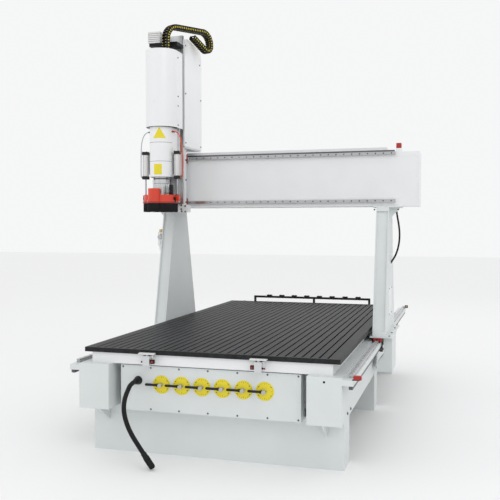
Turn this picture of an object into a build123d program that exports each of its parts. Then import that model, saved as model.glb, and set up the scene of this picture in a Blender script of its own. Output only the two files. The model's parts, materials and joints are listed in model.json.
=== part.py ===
from build123d import *
import math
import os

os.makedirs("parts", exist_ok=True)

# Frame: X across the table, Y along it towards the tool rack, Z up. The origin is on the
# floor, at the middle of the base. The gantry is drawn at its parked place.

# ---------------------------------------------------------------- driving dimensions (mm)
base_width = 1608
base_length = 3110
plinth_depth = 190
plinth_height = 302
plinth_wall = 6
plinth_count = 3

side_box_outer = 815          # outer face of a side beam, from the centre line
side_box_width = 200
side_box_height = 276
side_box_wall = 8
side_overhang = 175           # side beams stand out in front of the front plinth
side_rear_overhang = 10
ledge_outer = 878             # outer edge of the rail ledge
ledge_thick = 33
ledge_step = 10               # ledge top below the side beam's top
rail_run_rear = 510           # ledge and rails reach this far behind the rear plinth
gusset_x = 700
gusset_run = 150
gusset_drop = 110
gusset_thick = 12
cable_hole_r = 7
bumper_length = 25
bumper_height = 28

table_width = 1600
table_length = 3000
table_front_overhang = 128
deck_thick = 12
plank_thick = 16
plank_pitch = 50
slot_mouth = 10
slot_cavity = 24
slot_lip = 7
side_strip = 55
end_strip = 18
frame_height = 66
frame_half_width = 755
frame_bar = 50
frame_wall = 4

rail_width = 23
rail_height = 22
rail_hole_pitch = 60
rail_hole_r = 5.5
rail_hole_depth = 10
block_width = 70
block_length = 84
block_height = 36             # rail base to the block's mounting face
block_lift = 6                # rail base to the underside of the block
running_gap = 0.4

rack_size = 22
pinion_tip_r = 22
pinion_root_r = 17.5
pinion_teeth = 20
pinion_shaft_r = 8
fit_gap = 0.05                # radial running fit

leg_inner = 820
leg_width = 95
leg_plate = 8
leg_recess = 12
leg_front_bottom = 1190       # distances from the front plinth's face
leg_rear_bottom = 1890
leg_front_top = 1400
leg_rear_top = 1663
foot_plate_thick = 12
foot_plate_outer = 958
top_plate_thick = 9
leg_height = 950

beam_height = 410
beam_depth = 230
beam_left = -1030
beam_right = 963
beam_front = 1430
beam_wall = 8
end_cap_length = 172
x_rail_start = -1020
x_rail_pitches = 33
x_rail_inset = 11

carriage_x = -810             # spindle axis at the parked place
spindle_y = 1105
carriage_width = 190
carriage_plate = 24
carriage_web = 10
tower_plate = 24
tower_half = 130
tower_depth_front = 1270      # front face of the tower plate
z_rail_width = 20
z_rail_offset = 75
z_block_width = 44
z_block_length = 80
z_screw_r = 10
z_plate_thick = 20
z_plate_half = 105
spindle_r = 59
nose_r = 36
rotor_r = 25
collet_r = 6.35
cover_half_upper = 125
cover_half_lower = 90
cover_wall = 3
hood_cylinder_offset = 133
hood_rod_r = 6
hood_gap = 5                  # round the spindle
port_r = 48
port_wall = 5
hood_lift = 90
z_travel = 820

chain_width = 54
chain_height = 42
chain_angle = 22              # the chain's plane, turned from +Y towards +X
chain_radii = [110, 90, 45]

dial_count = 6
dial_pitch = 130
dial_first_x = -297
dial_r = 56
dial_height = 460
stem_r = 8
lever_length = 100
lever_half = 7.5

cord_r = 14
gland_x = -451
gland_height = 478

tool_count = 8
tool_pitch = 128
tool_first_x = -426
rack_bar_size = 20

# ---------------------------------------------------------------- derived places
y_front = -base_length / 2                       # front plinth's front face
side_box_inner = side_box_outer - side_box_width
box_top = plinth_height + side_box_height
ledge_top = box_top - ledge_step
ledge_bottom = ledge_top - ledge_thick
frame_top = box_top + frame_height
table_top = frame_top + deck_thick + plank_thick
table_y0 = y_front - table_front_overhang
table_y1 = table_y0 + table_length
side_y0 = y_front - side_overhang
side_y1 = y_front + base_length + side_rear_overhang
ledge_y1 = y_front + base_length + rail_run_rear
tail_tip_z = ledge_bottom - 10
y_rail_x = ledge_outer - 20
y_rail_start = side_y0 + 65
y_rail_pitches = int((ledge_y1 - 10 - y_rail_start) / rail_hole_pitch)
foot_bottom = ledge_top + block_height
leg_bottom = foot_bottom + foot_plate_thick
leg_top = leg_bottom + leg_height
beam_bottom = leg_top + top_plate_thick
beam_top = beam_bottom + beam_height
beam_y0 = y_front + beam_front
beam_y1 = beam_y0 + beam_depth
y_rack_x = (852, 852 + rack_size)
y_rack_z = (ledge_bottom - rack_size, ledge_bottom)
y_pinion_z = y_rack_z[0] - running_gap - pinion_tip_r
y_pinion_y = y_front + 1400
x_rack_y = (beam_y0 + 70, beam_y0 + 70 + rack_size)
x_pinion_y = x_rack_y[1] + running_gap + pinion_tip_r
block_face_y = beam_y0 - block_height            # rear face of the carriage plate
carriage_y0 = block_face_y - carriage_plate
tower_y = y_front + tower_depth_front
axis_y = y_front + spindle_y
z_plate_y1 = tower_y - block_height
z_plate_y0 = z_plate_y1 - z_plate_thick
carriage_z0 = beam_bottom
bracket_z = beam_top + 65
tower_top = beam_top + 960
panel_y = y_front - 100
panel_half = 568


# ---------------------------------------------------------------- small helpers
def block(x, y, z):
    size = (x[1] - x[0], y[1] - y[0], z[1] - z[0])
    middle = ((x[0] + x[1]) / 2, (y[0] + y[1]) / 2, (z[0] + z[1]) / 2)
    return Pos(*middle) * Box(*size)


def centred(x, y, z, width, depth, height):
    return Pos(x, y, z + height / 2) * Box(width, depth, height)


def post(x, y, z, r):
    return Pos(x, y, (z[0] + z[1]) / 2) * Cylinder(r, z[1] - z[0])


def bar_x(x, y, z, r):
    return Pos((x[0] + x[1]) / 2, y, z) * Rot(0, 90, 0) * Cylinder(r, x[1] - x[0])


def bar_y(x, y, z, r):
    return Pos(x, (y[0] + y[1]) / 2, z) * Rot(90, 0, 0) * Cylinder(r, y[1] - y[0])


def outline(points):
    return make_face(Polyline(*points, close=True))


def prism_x(points, x):
    """A (y, z) outline, drawn out along X."""
    return extrude(Plane.YZ.offset(x[0]) * outline(points), x[1] - x[0])


def prism_y(points, y):
    """An (x, z) outline, drawn out along Y."""
    plane = Plane(origin=(0, y[1], 0), x_dir=(1, 0, 0), z_dir=(0, -1, 0))
    return extrude(plane * outline(points), y[1] - y[0])


def mirrored(shape):
    return mirror(shape, about=Plane.YZ)


def save(name, *shapes):
    shape = shapes[0] if len(shapes) == 1 else Compound(children=list(shapes))
    export_step(shape, f"parts/{name}.step")


def tube_box(x, y, z, wall):
    inner = [(a + wall, b - wall) for a, b in (x, y, z)]
    return block(x, y, z) - block(*inner)


# ---------------------------------------------------------------- standard parts
def rail(length, width=rail_width, pitch=rail_hole_pitch):
    """A profile rail along +X from the origin, base at Z 0, with counterbored holes."""
    half, waist, top = width / 2, width / 2 - 2, rail_height
    side = [(half, 0), (half, 8), (waist, 10), (waist, 14), (half, 16), (half, top)]
    profile = side + [(-u, v) for u, v in reversed(side)]
    solid = extrude(Plane.YZ * outline(profile), length)
    count = int(length / pitch)
    drills = [
        post(pitch * (i + 0.5), 0, (top - rail_hole_depth, top + 1), rail_hole_r)
        for i in range(count)
    ]
    return solid - drills


def bearing_block(length=block_length, width=block_width, rail=rail_width):
    """A bearing block centred on the origin along X, over a rail with its base at Z 0."""
    body = Pos(0, 0, (block_lift + block_height) / 2) * Box(length, width, block_height - block_lift)
    channel = Pos(0, 0, (rail_height + 1) / 2) * Box(length + 2, rail + 1, rail_height + 1)
    return chamfer(body.edges().filter_by(Axis.X).group_by(Axis.Z)[-1], 4) - channel


def pinion(width):
    """A straight-cut pinion on the Z axis, from Z 0 up."""
    step = 360 / pinion_teeth
    points = []
    for i in range(pinion_teeth):
        for part, r in ((0.0, pinion_root_r), (0.28, pinion_tip_r), (0.5, pinion_tip_r), (0.78, pinion_root_r)):
            angle = math.radians(step * (i + part))
            points.append((r * math.cos(angle), r * math.sin(angle)))
    return extrude(outline(points), width)


def at_plane(shape, origin, x_dir, z_dir):
    return Plane(origin=origin, x_dir=x_dir, z_dir=z_dir).location * shape


# ---------------------------------------------------------------- base
def plinth(y0):
    x = (-base_width / 2, base_width / 2)
    return tube_box(x, (y0, y0 + plinth_depth), (0, plinth_height), plinth_wall)


plinth_step = (base_length - plinth_depth) / (plinth_count - 1)
save("plinths", *[plinth(y_front + i * plinth_step) for i in range(plinth_count)])


def side_beam():
    """The right side beam's pieces: box, rail ledge, tail plate and front gusset."""
    x = (side_box_inner, side_box_outer)
    box = tube_box(x, (side_y0, side_y1), (plinth_height, box_top), side_box_wall)
    ledge = block((side_box_outer, ledge_outer), (side_y0, ledge_y1), (ledge_bottom, ledge_top))
    tail = [(side_y1, plinth_height), (side_y1, ledge_top), (ledge_y1, ledge_top), (ledge_y1, tail_tip_z)]
    ear = [(y_front, plinth_height), (y_front - gusset_run, plinth_height), (y_front, plinth_height - gusset_drop)]
    return [
        box,
        ledge,
        prism_x(tail, (side_box_outer - gusset_thick, side_box_outer)),
        prism_x(ear, (gusset_x - gusset_thick / 2, gusset_x + gusset_thick / 2)),
    ]


right_beam = side_beam()
left_beam = [mirrored(piece) for piece in right_beam]
cable_hole_y = (side_y0 - 1, side_y0 + side_box_wall + 1)
right_beam[0] -= bar_y((side_box_inner + side_box_outer) / 2, cable_hole_y, box_top - 28, cable_hole_r)
save("side_beams", *right_beam, *left_beam)


frame_y = (table_y0 + 13, table_y1 - 12)
frame_z = (box_top, frame_top)
cross_count = 7
cross_step = (frame_y[1] - frame_y[0] - frame_bar) / (cross_count - 1)
cross_half = frame_half_width - frame_bar
frame = [
    tube_box((side * frame_half_width - (side + 1) * frame_bar / 2, side * frame_half_width - (side - 1) * frame_bar / 2),
             frame_y, frame_z, frame_wall)
    for side in (-1, 1)
]
for i in range(cross_count):
    y = frame_y[0] + i * cross_step
    frame.append(tube_box((-cross_half, cross_half), (y, y + frame_bar), frame_z, frame_wall))
save("table_frame", *frame)
save("table_deck", block((-table_width / 2, table_width / 2), (table_y0, table_y1), (frame_top, frame_top + deck_thick)))


def plank(x, width):
    """A slotted plank: full width at the lip, narrower below it for the T-slot cavity."""
    z0, z1 = frame_top + deck_thick, table_top
    y = (table_y0 + end_strip, table_y1 - end_strip)
    mouth, cavity = slot_mouth / 2, slot_cavity / 2
    top = block((x + mouth, x + width - mouth), y, (z1 - slot_lip, z1))
    foot = block((x + cavity, x + width - cavity), y, (z0, z1 - slot_lip))
    return top + foot


plank_field = table_width - 2 * side_strip
plank_count = int(plank_field / plank_pitch)
plank_x0 = -plank_count * plank_pitch / 2
planks = [plank(plank_x0 + i * plank_pitch, plank_pitch) for i in range(plank_count)]

strip_z = (frame_top + deck_thick, table_top)
field_half = plank_count * plank_pitch / 2
strip_y = (table_y0 + end_strip, table_y1 - end_strip)
side_strip_solid = block((field_half + slot_cavity / 2, table_width / 2), strip_y, strip_z)
side_strip_solid += block((field_half + slot_mouth / 2, table_width / 2), strip_y, (table_top - slot_lip, table_top))
save(
    "table_planks",
    *planks,
    side_strip_solid,
    mirrored(side_strip_solid),
    block((-table_width / 2, table_width / 2), (table_y0, table_y0 + end_strip), strip_z),
    block((-table_width / 2, table_width / 2), (table_y1 - end_strip, table_y1), strip_z),
)

y_rail_length = y_rail_pitches * rail_hole_pitch
y_rail = rail(y_rail_length)
y_rails = [at_plane(y_rail, (side * y_rail_x, y_rail_start, ledge_top), (0, 1, 0), (0, 0, 1)) for side in (-1, 1)]
save("y_rails", *y_rails)

rack_bar = block(y_rack_x, (side_y0 + 10, ledge_y1 - 10), y_rack_z)
save("y_racks", rack_bar, mirrored(rack_bar))


def y_bumper(y0, width):
    x0 = ledge_outer - 6
    return block((x0, x0 + width), (y0, y0 + bumper_length), (ledge_top, ledge_top + bumper_height))


rear_stop = y_bumper(ledge_y1 - bumper_length, 30)
save("y_bumpers", y_bumper(side_y0, 62), rear_stop, mirrored(rear_stop))

# ---------------------------------------------------------------- vacuum valves and front panel
dial_x = [dial_first_x + i * dial_pitch for i in range(dial_count)]
panel_z = (plinth_height - 10, box_top - 8)
panel_wall = 3
panel = block((-panel_half, panel_half), (panel_y, y_front), panel_z)
panel -= block(
    (-panel_half + panel_wall, panel_half - panel_wall),
    (panel_y + panel_wall, y_front + 1),
    (panel_z[0] + panel_wall, panel_z[1] - panel_wall),
)
panel -= [bar_y(x, (panel_y - 1, panel_y + panel_wall + 1), dial_height, stem_r + 1) for x in dial_x]
save("valve_panel", panel)

dial_thick = 3
dials = []
for x in dial_x:
    disc = bar_y(x, (panel_y - dial_thick, panel_y), dial_height, dial_r)
    dials.append(disc - bar_y(x, (panel_y - 4, panel_y + 1), dial_height, stem_r + 1))

hub_y = (panel_y - 34, panel_y - dial_thick - 0.5)
nut_y = (panel_y - 42, hub_y[0] - 0.5)
valve_y = (panel_y + 10, panel_y + 80)
stems = []
for x in dial_x:
    stem = bar_y(x, (nut_y[0], valve_y[0]), dial_height, stem_r)
    stems.append(stem + bar_y(x, nut_y, dial_height, stem_r + 4))
save("valve_dials", *dials, *stems)


def lever(x):
    hub = bar_y(x, hub_y, dial_height, 13)
    arm_y = (hub_y[0] + 6, hub_y[0] + 13)
    tip_x = x - lever_length + lever_half
    arm = block((tip_x, x), arm_y, (dial_height - lever_half, dial_height + lever_half))
    tip = bar_y(tip_x, arm_y, dial_height, lever_half)
    return hub + arm + tip - bar_y(x, (hub_y[0] - 1, hub_y[1] + 1), dial_height, stem_r + fit_gap)


for i, x in enumerate(dial_x):
    save(f"vacuum_lever_{i + 1}", lever(x))

manifold_r = 38
manifold_z = dial_height - 100
manifold_y = panel_y + 50
valve_half = 32
pipe_r = 20
bodies = []
for x in dial_x:
    body = block((x - valve_half, x + valve_half), valve_y, (dial_height - valve_half, dial_height + valve_half))
    body += post(x, manifold_y + 10, (dial_height + valve_half - 1, panel_z[1] - panel_wall), pipe_r)
    bodies.append(body)
manifold = bar_x((dial_x[0] - 60, dial_x[-1] + 60), manifold_y, manifold_z, manifold_r)
for x in dial_x:
    manifold += post(x, manifold_y, (manifold_z, dial_height - valve_half), pipe_r)
save("vacuum_valves", manifold, *bodies)

# ---------------------------------------------------------------- power cord
gland_length = 50
gland = extrude(
    Plane(origin=(gland_x, panel_y, gland_height), z_dir=(0, -1, 0)) * RegularPolygon(26, 6), 14
)
gland += Pos(gland_x, panel_y - 32, gland_height) * Rot(90, 0, 0) * Cone(22, 16, 36)
save("cord_gland", gland)

cord_route = [
    (gland_x, y_front - 150, gland_height),
    (gland_x, y_front - 204, gland_height),
    (-447, y_front - 258, 448),
    (-451, y_front - 294, 402),
    (-448, y_front - 312, 342),
    (-431, y_front - 316, 278),
    (-402, y_front - 314, 212),
    (-362, y_front - 310, 150),
    (-325, y_front - 306, 96),
]


def cord_radii(points):
    """The largest arc that each corner's two runs leave room for."""
    radii = []
    for a, b, c in zip(points, points[1:], points[2:]):
        before, after = Vector(*b) - Vector(*a), Vector(*c) - Vector(*b)
        half_turn = math.radians(before.get_angle(after) / 2)
        radii.append(0.45 * min(before.length, after.length) / math.tan(half_turn))
    return radii


def tube(points, r):
    radii = cord_radii(points)
    path = FilletPolyline(*points, radius=radii)
    start = Plane(origin=points[0], z_dir=Vector(*points[1]) - Vector(*points[0]))
    solid = sweep(start * Circle(r), path=path)
    print("tube radii", [round(v) for v in radii], "length", round(path.length),
          "volume ratio", round(solid.volume / (math.pi * r * r * path.length), 4))
    return solid


save("power_cord", tube(cord_route, cord_r))
plug_length = 103
plug_start = Vector(*cord_route[-1])
plug_axis = (plug_start - Vector(*cord_route[-2])).normalized() * plug_length
plug_plane = Plane(origin=plug_start, z_dir=plug_axis)
plug = extrude(plug_plane * Circle(cord_r + 3), plug_length)
plug += extrude(plug_plane.offset(24) * Circle(cord_r + 5), plug_length - 30)
save("cord_plug", plug)

# ---------------------------------------------------------------- pop-up stops
stop_x = (-366, 331)
stop_y = y_front - 160
stop_width, stop_depth, stop_thick = 100, 34, 7
cylinder_z = (box_top + 6, frame_top - 1)
cylinders, cylinder_half, stop_lift = [], 17, 9
for x in stop_x:
    body = block((x - 22, x + 22), (stop_y - cylinder_half, y_front - 115), cylinder_z)
    cylinders.append(body - post(x, stop_y, (cylinder_z[0] + 8, cylinder_z[1] + 1), 8 + fit_gap))
save("stop_cylinders", *cylinders)
for name, x in (("pop_up_stop_left", stop_x[0]), ("pop_up_stop_right", stop_x[1])):
    rod = post(x, stop_y, (cylinder_z[0] + 10, cylinder_z[1] + stop_lift + 2), 8)
    cap = block(
        (x - stop_width / 2, x + stop_width / 2),
        (stop_y - stop_depth / 2, stop_y + stop_depth / 2 - 4),
        (cylinder_z[1] + stop_lift, cylinder_z[1] + stop_lift + stop_thick),
    )
    save(name, rod + cap)

# ---------------------------------------------------------------- tool rack
bar_y0 = table_y1 + 83
rack_y = (bar_y0, bar_y0 + rack_bar_size)
rack_z = (table_top + 28, table_top + 28 + rack_bar_size)
rack_foot_z = (frame_top - 14, frame_top)
fork_z = (rack_z[0] + 4, rack_z[1] - 4)
fork_half, fork_reach, fork_jaw_r = 25, 50, 16
rack_pieces = [block((-588, 588), rack_y, rack_z)]
for x in (-578, 30, 578):
    rack_pieces.append(block((x - 10, x + 10), rack_y, (rack_foot_z[0], rack_z[0])))
    rack_pieces.append(block((x - 20, x + 20), (frame_y[1], rack_y[0]), rack_foot_z))
for i in range(tool_count):
    x = tool_first_x + i * tool_pitch
    edges = (x - fork_half, x + fork_half)
    fork = block(edges, (bar_y0 - fork_reach, bar_y0), fork_z)
    fork += block(edges, (bar_y0 - 10, bar_y0), (fork_z[0], rack_z[1] + 12))
    fork += block(edges, (bar_y0 - 10, rack_y[1]), (rack_z[1], rack_z[1] + 12))
    fork -= post(x, bar_y0 - 30, (fork_z[0] - 1, fork_z[1] + 1), fork_jaw_r)
    jaw_y = (bar_y0 - fork_reach - 1, bar_y0 - 30)
    fork -= block((x - fork_jaw_r, x + fork_jaw_r), jaw_y, (fork_z[0] - 1, fork_z[1] + 1))
    rack_pieces.append(fork)
save("tool_rack", *rack_pieces)


# ---------------------------------------------------------------- gantry legs
def leg_front(z):
    share = (z - leg_bottom) / leg_height
    return y_front + leg_front_bottom + share * (leg_front_top - leg_front_bottom)


def leg_rear(z):
    share = (z - leg_bottom) / leg_height
    return y_front + leg_rear_bottom + share * (leg_rear_top - leg_rear_bottom)


def leg_outline(z0, z1, front_in, rear_in):
    return [
        (leg_front(z0) + front_in, z0),
        (leg_rear(z0) - rear_in, z0),
        (leg_rear(z1) - rear_in, z1),
        (leg_front(z1) + front_in, z1),
    ]


bracket_x = (889, 895)        # hangs from the foot plate and carries the drive
bracket_y = (y_pinion_y - 60, y_pinion_y + 60)


def gantry_leg():
    """The right leg: tapered box with a recessed front, foot plate, top plate and bracket."""
    x = (leg_inner, leg_inner + leg_width)
    inner_x = (x[0] + leg_plate, x[1] - leg_plate)
    leg = prism_x(leg_outline(leg_bottom, leg_top, 0, 0), x)
    leg -= prism_x(leg_outline(leg_bottom + 10, leg_top - 10, leg_recess + leg_plate, leg_plate), inner_x)
    z0, z1 = leg_bottom + 34, leg_top - 30
    recess = [
        (leg_front(z0) - 5, z0), (leg_front(z0) + leg_recess, z0),
        (leg_front(z1) + leg_recess, z1), (leg_front(z1) - 5, z1),
    ]
    leg -= prism_x(recess, inner_x)
    foot_y = (y_front + leg_front_bottom, y_front + leg_rear_bottom)
    leg += block((leg_inner - 20, foot_plate_outer), foot_y, (foot_bottom, leg_bottom))
    leg += block((leg_inner - 30, leg_inner + 180), (leg_front(leg_top), leg_rear(leg_top)), (leg_top, beam_bottom))
    gusset = [(x[1], leg_top), (x[1] + 80, leg_top), (x[1], leg_top - 90)]
    leg += prism_y(gusset, (leg_front(leg_top) + 60, leg_front(leg_top) + 70))
    leg += block(bracket_x, bracket_y, (y_pinion_z - 45, foot_bottom))
    return leg - bar_x((bracket_x[0] - 1, bracket_x[1] + 1), y_pinion_y, y_pinion_z, pinion_shaft_r + fit_gap)


right_leg = gantry_leg()
save("gantry_legs", right_leg, mirrored(right_leg))

first_block_y = y_front + leg_front_bottom + 47
last_block_y = y_front + 1718
foot_blocks = []
for side in (-1, 1):
    for y in (first_block_y, last_block_y):
        foot_blocks.append(
            at_plane(bearing_block(), (side * y_rail_x, y, ledge_top), (0, 1, 0), (0, 0, 1))
        )
save("y_bearing_blocks", *foot_blocks)

cover_y = (y_pinion_y - 150, y_pinion_y + 150)
cover_points = [(896, foot_bottom), (958, foot_bottom), (958, 345), (845, 345), (845, 405), (896, 475)]
cover_inner = [(845, foot_bottom + 1), (955, foot_bottom + 1), (955, 348), (848, 348), (848, 404), (845, 405)]


def drive_cover():
    shell = prism_y(cover_points, cover_y)
    return shell - prism_y(cover_inner, (cover_y[0] + 3, cover_y[1] - 3))


right_cover = drive_cover()
save("drive_covers", right_cover, mirrored(right_cover))

y_motor = block((bracket_x[1], 952), (y_pinion_y - 45, y_pinion_y + 45), (y_pinion_z - 45, y_pinion_z + 45))
y_motor += block((898, 950), (y_pinion_y - 40, y_pinion_y + 40), (352, y_pinion_z - 44))
save("y_drive_motors", y_motor, mirrored(y_motor))


def y_pinion():
    gear = Pos(y_rack_x[0], y_pinion_y, y_pinion_z) * Rot(0, 90, 0) * pinion(rack_size)
    return gear + bar_x((y_rack_x[1] - 2, bracket_x[1] - 0.3), y_pinion_y, y_pinion_z, pinion_shaft_r)


right_pinion = y_pinion()
save("y_pinion_right", right_pinion)
save("y_pinion_left", mirrored(right_pinion))

# ---------------------------------------------------------------- gantry beam
beam = tube_box((beam_left, beam_right), (beam_y0, beam_y1), (beam_bottom, beam_top), beam_wall)
beam -= block((beam_left - 1, beam_right + 1), (beam_y0 - 1, beam_y0 + 3), (beam_bottom + 68, beam_top - 36))
save("gantry_beam", beam)

cap_x = (beam_right, beam_right + end_cap_length)
cap = tube_box(cap_x, (beam_y0, beam_y1), (beam_bottom, beam_top), 3)
cap -= block((cap_x[0] - 1, cap_x[1] - 8), (beam_y0 - 1, beam_y0 + 2), (beam_bottom + 18, beam_top - 34))
save("beam_end_cap", cap)

x_rail_length = x_rail_pitches * rail_hole_pitch
x_rail_z = (beam_bottom + 41, beam_top - x_rail_inset)
x_rails = [
    at_plane(rail(x_rail_length), (x_rail_start, beam_y0, z), (1, 0, 0), (0, -1, 0)) for z in x_rail_z
]
save("x_rails", *x_rails)
bumper_x = (beam_right - 8, beam_right + 37)
save("x_rack", block((beam_left + 55, bumper_x[0] - 10), x_rack_y, (beam_top, beam_top + rack_size)))
save(
    "x_bumpers",
    block(bumper_x, (beam_y0 + 50, beam_y0 + 95), (beam_top, beam_top + 72)),
    block((beam_left + 5, beam_left + 45), (beam_y0 + 50, beam_y0 + 95), (beam_top, beam_top + 72)),
)
tray_y = (beam_y1 - 75, beam_y1)
tray = block((-786, 879), tray_y, (beam_top, beam_top + 52))
tray -= block((-787, 880), (tray_y[0] + 2, tray_y[1] - 2), (beam_top + 2, beam_top + 53))
save("cable_tray", tray)

# ---------------------------------------------------------------- leg cable and air unit
cable_y = y_front + 1600
leg_cable_route = [
    (950, cable_y, leg_top + 6),
    (958, cable_y - 4, 1510),
    (972, cable_y - 8, 1440),
    (980, cable_y - 10, 1368),
    (977, cable_y - 12, 1296),
    (962, cable_y - 14, 1228),
    (938, cable_y - 17, 1172),
    (leg_inner + leg_width - 9, cable_y - 20, 1130),
]
cable_room = block((leg_inner + leg_width, 1100), (cable_y - 100, cable_y + 100), (1000, leg_top))
save("leg_cable", tube(leg_cable_route, 7) & cable_room)

air_x = (-(leg_inner + leg_width) - 38, -(leg_inner + leg_width))
air_y = (leg_front(1300) + 20, leg_front(1300) + 66)
air = block(air_x, air_y, (1262, 1378))
air += post(air_x[0] + 19, (air_y[0] + air_y[1]) / 2, (1225, 1263), 17)
fittings = [bar_y(air_x[0] + 19, (air_y[0] - 18, air_y[0]), z, 9) for z in (1285, 1360)]
save("air_regulator", air, *fittings)

# ---------------------------------------------------------------- X carriage and tower
half = carriage_width / 2
cx = carriage_x
carriage = block((cx - half, cx + half), (carriage_y0, block_face_y), (carriage_z0, bracket_z))
tower_back = tower_y + tower_plate
web = [
    (tower_back, carriage_z0), (carriage_y0, carriage_z0), (carriage_y0, bracket_z),
    (beam_y1 - 20, bracket_z), (beam_y1 - 20, bracket_z + 240), (carriage_y0 + 30, tower_top - 90),
    (tower_back, tower_top - 90),
]
for side in (-1, 1):
    edge = sorted((cx + side * half, cx + side * (half - carriage_web)))
    carriage += prism_x(web, edge)
motor_bracket = block((cx - 125, cx + 125), (tower_back, beam_y1 - 8), (bracket_z, bracket_z + 12))
motor_bracket -= post(cx, x_pinion_y, (bracket_z - 1, bracket_z + 13), pinion_shaft_r + fit_gap)
carriage += motor_bracket
foot = block((cx + 55, cx + 140), (carriage_y0 - 70, carriage_y0), (carriage_z0 - 40, carriage_z0 + 22))
save("x_carriage", carriage + foot)

blocks = []
for z in x_rail_z:
    for shift in (-53, 53):
        blocks.append(at_plane(bearing_block(), (cx + shift, beam_y0, z), (1, 0, 0), (0, -1, 0)))
save("x_bearing_blocks", *blocks)

x_motor = centred(cx, x_pinion_y, bracket_z + 12, 90, 90, 70)
x_motor += centred(cx, x_pinion_y, bracket_z + 82, 80, 80, 150)
save("x_drive_motor", x_motor)
x_gear = Pos(cx, x_pinion_y, beam_top + 3) * pinion(rack_size - 4)
save("x_pinion", x_gear + post(cx, x_pinion_y, (beam_top + 20, bracket_z + 11.7), pinion_shaft_r))

lug = block((cx - 25, cx + 25), (z_plate_y1 + 3, tower_y), (carriage_z0 + 25, carriage_z0 + 50))
screw_y = tower_y - block_height / 2
tower = block((cx - 115, cx + 115), (tower_y, tower_back), (carriage_z0 + 25, tower_top - 10)) + lug
tower -= post(cx, screw_y, (carriage_z0, carriage_z0 + 60), z_screw_r + fit_gap)
save("tower_plate", tower)

tower_side = [
    (tower_y + 2, bracket_z + 10), (tower_y + 2, tower_top - 40), (tower_y + 64, tower_top - 25),
    (tower_y + 330, tower_top - 55), (tower_y + 374, tower_top - 85), (beam_y1, tower_top - 135),
    (beam_y1, bracket_z + 10),
]
shell_wall = 3
inner_side = offset(outline(tower_side), -shell_wall)
shell = prism_x(tower_side, (cx - tower_half, cx + tower_half))
shell -= extrude(
    Plane.YZ.offset(cx - tower_half + shell_wall) * inner_side, 2 * (tower_half - shell_wall)
)
shell -= block(
    (cx - tower_half + shell_wall, cx + tower_half - shell_wall),
    (tower_y + 20, beam_y1 - shell_wall), (bracket_z, bracket_z + 20),
)
shell -= block((cx - 117, cx + 117), (tower_y, tower_y + 40), (bracket_z, tower_top))
save("tower_cover", shell)

z_rail_z0 = carriage_z0 + 35
z_rail_length = 1200
z_rails = [
    at_plane(rail(z_rail_length, z_rail_width), (cx + s * z_rail_offset, tower_y, z_rail_z0), (0, 0, 1), (0, -1, 0))
    for s in (-1, 1)
]
save("z_rails", *z_rails)

housing_z = (tower_top - 115, tower_top - 88)
z_motor_y0 = axis_y + 35
housing = block((cx - 115, cx + 120), (z_motor_y0, tower_y), housing_z)
housing -= post(cx, screw_y, (housing_z[0] - 1, housing_z[1] + 1), z_screw_r + fit_gap)
save("z_belt_housing", housing)
z_motor = block((cx - 125, cx - 25), (z_motor_y0, z_motor_y0 + 100), (housing_z[1], housing_z[1] + 88))
save("z_motor", z_motor)
save("z_screw", post(cx, screw_y, (carriage_z0 + 22, housing_z[1] - 4), z_screw_r))

# ---------------------------------------------------------------- Z energy chain
turn = math.radians(chain_angle)
chain_foot = (cx + 50, axis_y - 20)
chain_plane = Plane(
    origin=(chain_foot[0], chain_foot[1], 0),
    x_dir=(math.sin(turn), math.cos(turn), 0),
    z_dir=(math.cos(turn), -math.sin(turn), 0),
)
chain_bottom = tower_top - 970
chain_corners = [
    (0, chain_bottom), (0, tower_top + 23), (505, tower_top + 67), (505, tower_top - 115), (290, tower_top - 3),
]
chain_line = [chain_plane.from_local_coords((s, z, 0)) for s, z in chain_corners]
chain_path = FilletPolyline(*chain_line, radius=chain_radii)
chain_start = Plane(origin=chain_line[0], x_dir=chain_plane.x_dir, z_dir=(0, 0, 1))
save("z_energy_chain", sweep(chain_start * Rectangle(chain_height, chain_width), path=chain_path))

# ---------------------------------------------------------------- Z slide, spindle and covers
z_plate_z = (carriage_z0 + 255, tower_top - 165)
ear_z = (z_plate_z[0], z_plate_z[0] + 170)
z_plate = block((cx - z_plate_half, cx + z_plate_half), (z_plate_y0, z_plate_y1), z_plate_z)
for side in (-1, 1):
    x = sorted((cx + side * (z_plate_half - 2), cx + side * (z_plate_half + 20)))
    z_plate += block(x, (axis_y + 22.5, z_plate_y1), ear_z)
save("z_slide_plate", z_plate)

z_blocks = []
for s in (-1, 1):
    for z in (tower_top - 445, tower_top - 225):
        shape = bearing_block(z_block_length, z_block_width, z_rail_width)
        z_blocks.append(at_plane(shape, (cx + s * z_rail_offset, tower_y, z), (0, 0, 1), (0, -1, 0)))
save("z_bearing_blocks", *z_blocks)
nut = block((cx - 26, cx + 26), (z_plate_y1, tower_y - 2), (tower_top - 400, tower_top - 300))
save("screw_nut", nut - post(cx, screw_y, (tower_top - 401, tower_top - 299), z_screw_r + fit_gap))


def cover_outline(half_width, arc_y, rear_y, inset):
    """A flat-backed U in plan: straight sides and a half-round front."""
    r = half_width - inset
    sides = [(cx + r, arc_y), (cx + r, rear_y), (cx - r, rear_y), (cx - r, arc_y)]
    return make_face([Polyline(*sides), ThreePointArc((cx - r, arc_y), (cx, arc_y - r), (cx + r, arc_y))])


def half_round_cover(half_width, arc_y, rear_y, z, flange_inner):
    height = z[1] - z[0]
    outer = extrude(Pos(0, 0, z[0]) * cover_outline(half_width, arc_y, rear_y, 0), height)
    inner = extrude(Pos(0, 0, z[0] - 1) * cover_outline(half_width, arc_y, rear_y + 5, cover_wall), height + 2)
    shell = outer - inner
    for side in (-1, 1):
        x = sorted((cx + side * flange_inner, cx + side * (half_width - 1)))
        shell += block(x, (z_plate_y0 - 3, z_plate_y0), z)
    return shell


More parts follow.
